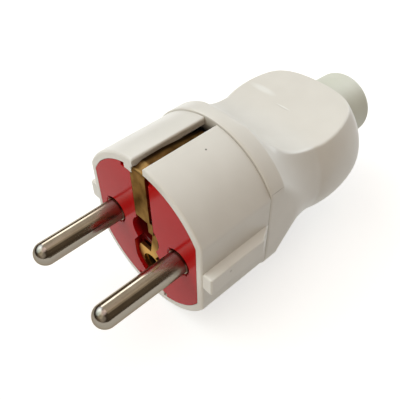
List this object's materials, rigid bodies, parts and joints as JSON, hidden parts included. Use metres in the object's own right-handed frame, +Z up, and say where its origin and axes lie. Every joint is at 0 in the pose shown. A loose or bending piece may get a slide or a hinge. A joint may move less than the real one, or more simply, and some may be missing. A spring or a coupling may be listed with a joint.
{
  "type": "grounded plug",
  "caption": "Rewirable mains plug with round pins, side earth contacts, an earth pin socket and a moulded grip handle.",
  "frame": {"origin": "middle of the lowest face of the part's box, with the plug lying slot upwards", "axes": "+Y along the plug's axis from the pins to the cable end, +Z up through the upper earth slot, +X towards the neutral pin"},
  "size_m": [0.0364, 0.0832, 0.0372],
  "materials": {
    "white_plastic": "smooth warm white moulding with a soft gloss",
    "red_plastic": "satin red moulding",
    "nickel": "turned and nickel plated, with fine length scratches",
    "steel": "zinc plated",
    "brass": "stamped strip, slightly tarnished",
    "ivory_rubber": "soft ivory sleeve"
  },
  "bodies": {
    "root": {"front_shell": "white_plastic", "pin_carrier": "red_plastic", "live_pin": "nickel", "neutral_pin": "nickel", "live_terminal_screw": "steel", "neutral_terminal_screw": "steel", "earth_strap": "brass", "earth_pin_clip": "brass", "earth_washer": "steel", "earth_terminal_nut": "steel", "earth_terminal_screw": "steel", "centre_screw": "steel", "centre_nut": "steel", "rear_handle": "white_plastic", "cord_clamp": "red_plastic", "left_clamp_screw": "steel", "right_clamp_screw": "steel", "cable_sleeve": "ivory_rubber"}
  },
  "joints": []
}
